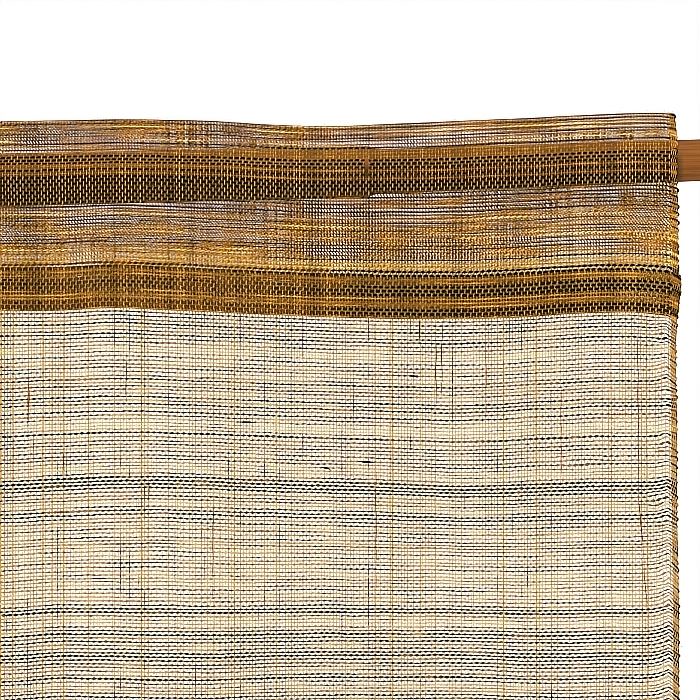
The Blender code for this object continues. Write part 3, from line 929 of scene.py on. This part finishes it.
def selvedge_loops(points, across, letters, out, seed):
    """The weft's turns round a selvedge. From the middle of one weft a loop comes in front of the packed
    warps to the edge, round it, and back behind them to the next weft."""
    rng = np.random.default_rng(seed)
    inset = across if out < 0 else PANEL_WIDTH - across
    order = np.argsort(inset)
    near = order[:10]
    middles = (points[:-1] + points[1:]) / 2
    ahead = np.gradient(points[:, order[0]], axis=0)
    outward = np.cross(ahead, (1.0, 0.0, 0.0))
    outward /= np.linalg.norm(outward, axis=1, keepdims=True)
    first = np.arange(0, len(middles) - 1, 2)
    side = np.sign(points[0, order[0], 0] - points[0, order[5], 0])
    legs = []
    for row, lift in ((first, 0.0003), (first + 1, -0.0003)):
        spots = []
        for depth in (1.0, 0.55, 0.12):
            share = np.array([np.interp(LOOP_INSET * depth, inset[near], middles[r, near, axis])
                              for axis in range(3) for r in row]).reshape(3, -1).T
            share[:, 2] += rng.normal(0.0, 0.00012, len(row))
            spots.append(share + outward[row] * lift * (1.0 if depth < 1.0 else 0.2))
        legs.append(np.stack(spots, 1))
    edge = (legs[0][:, -1] + legs[1][:, -1]) / 2
    reach = rng.uniform(-0.0001, 0.00028, len(first)) * (1.0 if abs(out) > 1 else 0.5)
    straight_out = np.array([side, 0.0, 0.0])
    tip = edge + straight_out * (reach + LOOP_INSET * 0.12)[:, None]
    before, after = (leg[:, -1] * 0.6 + tip * 0.4 + straight_out * (reach * 0.5)[:, None] for leg in legs)
    turns = np.stack([before, tip, after], 1)
    paths = np.concatenate([legs[0], turns, legs[1][:, ::-1]], axis=1)
    radii = np.broadcast_to([0.3, 0.7, 0.9, 1.1, 1.1, 1.1, 1.0, 0.8, 0.3], paths.shape[:2])
    thickness = rng.uniform(0.5, 1.45, (len(first), 1)) * LOOP_RADIUS
    thickness = thickness * rng.uniform(0.75, 1.25, paths.shape[:2])
    tones = np.array([YARN[letters[row]].tone for row in first]) * rng.uniform(0.3, 1.3, len(first))
    tones += rng.choice([0.0, 0.12, 0.26], len(first), p=[0.45, 0.35, 0.2])
    return tubes(paths, radii * thickness, tones)


def on_cloth(points, x, z, first=FALL_START, last=FALL_START + FALL_WEFTS):
    """The places of a panel's rows from first to last that face the front at x and z, as points, and how far
    along the rows each is."""
    layer = points[first:last + 1]
    side = np.sign(layer[0, -1, 0])
    column = np.interp(side * x, side * layer[0, :, 0], np.arange(layer.shape[1]))
    left = np.minimum(column.astype(int), layer.shape[1] - 2)
    share = (column - left)[:, None, None]
    columns = layer.transpose(1, 0, 2)
    lines = columns[left] * (1 - share) + columns[left + 1] * share
    above = np.clip((lines[:, :, 2] > z[:, None]).sum(axis=1) - 1, 0, len(layer) - 2)
    pick = np.arange(len(x))
    start, end = lines[pick, above], lines[pick, above + 1]
    part = ((start[:, 2] - z) / (start[:, 2] - end[:, 2]))[:, None]
    return start + (end - start) * part, first + above + part[:, 0]


def points_at(line, x):
    """The points of a row of a panel at each x."""
    side = np.sign(line[-1, 0])
    return np.stack([np.interp(side * x, side * line[:, 0], line[:, axis]) for axis in range(3)], -1)


def warp_stretch(points, x_top, x_bottom, z_top, z_bottom, tone, radius, swell=0.0, **rows):
    """A yarn lying along the warp over and under the wefts, with tapered ends, swollen midway by a share."""
    length = max(8, int((z_top - z_bottom) / WEFT_PITCH * 2.5))
    along = np.linspace(0.0, 1.0, length)
    x = x_top + (x_bottom - x_top) * along * along * (3 - 2 * along) + 0.00012 * np.sin(along * length * 0.21)
    z = z_top + (z_bottom - z_top) * along
    places, row = on_cloth(points, x, z, **rows)
    places[:, 1] -= 0.00012 + 0.00022 * np.cos(math.pi * (row - 0.5))
    tapered = np.sin(math.pi * along) ** 0.35 * 0.9 + 0.1
    radii = radius * tapered * (1.0 + swell * np.exp(-((along - 0.5) / 0.2) ** 2))
    return tubes(places[None], radii[None], np.array([tone]))


def slub(points, x, z, length, tone, radius, droop=0.0, **rows):
    """A thick place in a weft, as a short tube that follows the row at x and z and bulges midway."""
    along = np.linspace(-0.5, 0.5, 11)
    _, row = on_cloth(points, np.array([x]), np.array([z]), **rows)
    middle = (points[int(row[0])] + points[int(row[0]) + 1]) / 2
    spots = x + along * length
    places = points_at(middle, spots)
    places[:, 0] = spots
    places[:, 1] -= 0.00022
    places[:, 2] -= droop * (along + 0.5) ** 3
    radii = radius * (0.25 + 0.75 * np.cos(math.pi * along) ** 1.5)
    return tubes(places[None], radii[None], np.array([tone]))


# The odd yarns in the corner of the right panel: along the warp, by place, colour and thickness, then the
# slubs and knots in the weft.
WarpStretch = namedtuple("WarpStretch", "x_top x_bottom z_top z_bottom tone radius swell", defaults=[0.0])
RIGHT_STRETCHES = [WarpStretch(*row) for row in (
    (0.4136, 0.4137, -0.0408, -0.0948, 0.4, 0.00016), (0.4137, 0.4149, -0.094, -0.1085, 0.36, 0.00017),
    (0.4149, 0.4158, -0.108, -0.129, 0.42, 0.00013), (0.3679, 0.3681, -0.0408, -0.0708, 0.5, 0.00013),
    (0.26, 0.2601, -0.0522, -0.0654, 0.24, 0.00013), (0.3479, 0.3479, -0.0405, -0.0477, 0.22, 0.00015),
    (0.353, 0.3531, -0.0468, -0.0663, 0.26, 0.00013), (0.3548, 0.3547, -0.0408, -0.0633, 0.24, 0.00014),
    (0.2411, 0.2411, -0.0798, -0.0873, 0.24, 0.00013), (0.2669, 0.2668, -0.0888, -0.0948, 0.25, 0.00013),
    (0.2308, 0.2309, -0.058, -0.071, 0.42, 0.00016, 1.4), (0.335, 0.3352, -0.085, -0.123, 0.3, 0.0001),
    (0.286, 0.2859, -0.096, -0.126, 0.32, 0.0001), (0.3905, 0.3907, -0.06, -0.096, 0.45, 0.00011),
)]
Slub = namedtuple("Slub", "x z length tone radius droop", defaults=[0.0])
RIGHT_SLUBS = [Slub(*row) for row in (
    (0.3617, -0.0576, 0.0021, 0.12, 0.00034), (0.3464, -0.0572, 0.0024, 0.14, 0.00036, 0.0004),
    (0.332, -0.0837, 0.0048, 0.12, 0.00036), (0.32, -0.0846, 0.003, 0.1, 0.0003, 0.0007),
    (0.4202, -0.0798, 0.0034, 0.44, 0.00034), (0.42, -0.0963, 0.0028, 0.44, 0.00032),
    (0.4204, -0.1023, 0.0036, 0.42, 0.00032), (0.4067, -0.0516, 0.004, 0.46, 0.00028),
    (0.4087, -0.0684, 0.0085, 0.46, 0.00026), (0.239, -0.0985, 0.007, 0.44, 0.0003),
    (0.377, -0.095, 0.005, 0.4, 0.00026), (0.296, -0.0715, 0.006, 0.16, 0.00026),
    (0.252, -0.118, 0.004, 0.14, 0.00028),
)]


def chance_yarns(points, side, x_range, z_range, number, seed):
    """Odd warp stretches and slubs at chance places over a part of a panel."""
    rng = np.random.default_rng(seed)
    groups = []
    for _ in range(number):
        x = side * rng.uniform(*x_range)
        z = rng.uniform(z_range[0] + 0.05, z_range[1])
        tone = rng.choice([0.1, 0.14, 0.4, 0.46])
        bottom = z - rng.uniform(0.008, 0.04)
        groups.append(warp_stretch(points, x, x, z, bottom, tone, rng.uniform(0.0001, 0.00016)))
        x = side * rng.uniform(*x_range)
        z = rng.uniform(*z_range)
        length = rng.uniform(0.002, 0.007)
        tone = rng.choice([0.12, 0.16, 0.44])
        groups.append(slub(points, x, z, length, tone, rng.uniform(0.00024, 0.0004)))
    return groups


def loose_fibres(spots, directions, length, seed):
    """Fine fibres that stand off the cloth and curl."""
    rng = np.random.default_rng(seed)
    along = np.linspace(0.0, 1.0, 7)[None, :, None]
    curl = rng.normal(0.0, 0.5, (len(spots), 1, 3)) * along ** 2
    reach = rng.uniform(0.4, 1.0, (len(spots), 1, 1)) * length
    paths = spots[:, None] + reach * (directions[:, None] * along + curl)
    radii = np.broadcast_to(np.linspace(0.00006, 0.00002, 7), (len(spots), 7))
    return tubes(paths, radii, rng.choice([0.3, 0.5, 0.75], len(spots)))


def edge_fibres(points, number, seed):
    """Loose fibres along a panel's crease and outer selvedge."""
    rng = np.random.default_rng(seed)
    top = points[FRONT_START, rng.integers(2, points.shape[1] - 1, number)]
    edge = points[rng.integers(FRONT_START + 4, FALL_START + FALL_WEFTS, number), -1]
    side = np.sign(points[0, -1, 0])
    up = np.stack([rng.normal(0, 0.8, number), rng.normal(0, 0.6, number), np.ones(number)], -1)
    out = np.stack([np.full(number, side), rng.normal(0, 0.6, number), rng.normal(0, 0.9, number)], -1)
    return loose_fibres(np.concatenate([top, edge]), np.concatenate([up, out]), 0.0007, seed)


def stitches(middles, across, rise, tone):
    """A row of small stitches, each an arched tube through one of the middles, from half of across before it
    to half of across after it, with its top raised towards rise."""
    along = np.linspace(-0.5, 0.5, 7)[None, :, None]
    paths = middles[:, None] + along * np.array(across) + (1.0 - 4.0 * along * along) * np.array(rise)
    radii = np.broadcast_to(0.00017 * (1.0 - 2.0 * along[:, :, 0] ** 2), paths.shape[:2])
    return tubes(paths, radii, np.full(len(paths), tone))


def hem_stitches(points, row, seed):
    """Slanted stitches on a panel's back, one every 4 mm along a row."""
    line = points[row]
    side = np.sign(line[-1, 0])
    rng = np.random.default_rng(seed)
    at = np.arange(0.006, PANEL_WIDTH - 0.004, 0.004)
    at = at + rng.uniform(-0.0006, 0.0006, len(at))
    middles = points_at(line, side * at)
    return stitches(middles + (0.0, 0.0001, 0.0), (0.002, 0.0, -0.0013), (0.0, 0.0003, 0.0), 0.3)


def seam_stitches(layer_rows, facing):
    """Whip stitches over the two inner selvedges, on the layer that faces the way given along Y."""
    middles = (right_points[layer_rows, 1] + left_points[layer_rows, 1]) / 2
    middles[:, 0] = 0.0
    rise = (0.0, 0.0002 * facing, 0.0)
    return stitches(middles + rise, (0.003, 0.0, 0.0016), rise, 0.3)


spun_hemp = yarn_material()
add_yarns("heading_seam", [
    seam_stitches(np.arange(FRONT_START + 3, FALL_START - 1, 3), -1.0),
    seam_stitches(np.arange(TURN_WEFTS + 2, FRONT_START - 2, 3), 1.0),
], spun_hemp)
pocket_row = TURN_WEFTS + 3
hem_row = FALL_START + FALL_WEFTS + HEM_WEFTS - 3
for name, points in (("hem_stitches_right", right_points), ("hem_stitches_left", left_points)):
    add_yarns(name, [hem_stitches(points, pocket_row, 81), hem_stitches(points, hem_row, 82)], spun_hemp)
add_yarns("selvedge_turns_right", [
    selvedge_loops(right_points, right_across, right_letters, 2, 61),
    selvedge_loops(right_points, right_across, right_letters, -1, 62),
], spun_hemp)
add_yarns("odd_yarns_right", [warp_stretch(right_points, *stretch) for stretch in RIGHT_STRETCHES]
          + [slub(right_points, *knot) for knot in RIGHT_SLUBS]
          + chance_yarns(right_points, 1, (0.01, 0.205), (-0.86, -0.05), 22, 71)
          + chance_yarns(right_points, 1, (0.205, 0.415), (-0.86, -0.14), 22, 72)
          + [slub(right_points, 0.424, 0.0204, 0.0014, 0.12, 0.00042, first=FRONT_START, last=FALL_START)]
          + [edge_fibres(right_points, 60, 73)], spun_hemp)
add_yarns("odd_yarns_left", chance_yarns(left_points, -1, (0.01, 0.415), (-0.86, -0.05), 46, 74)
          + [edge_fibres(left_points, 60, 75)], spun_hemp)
add_yarns("selvedge_turns_left", [
    selvedge_loops(left_points, left_across, left_letters, 2, 63),
    selvedge_loops(left_points, left_across, left_letters, -1, 64),
], spun_hemp)
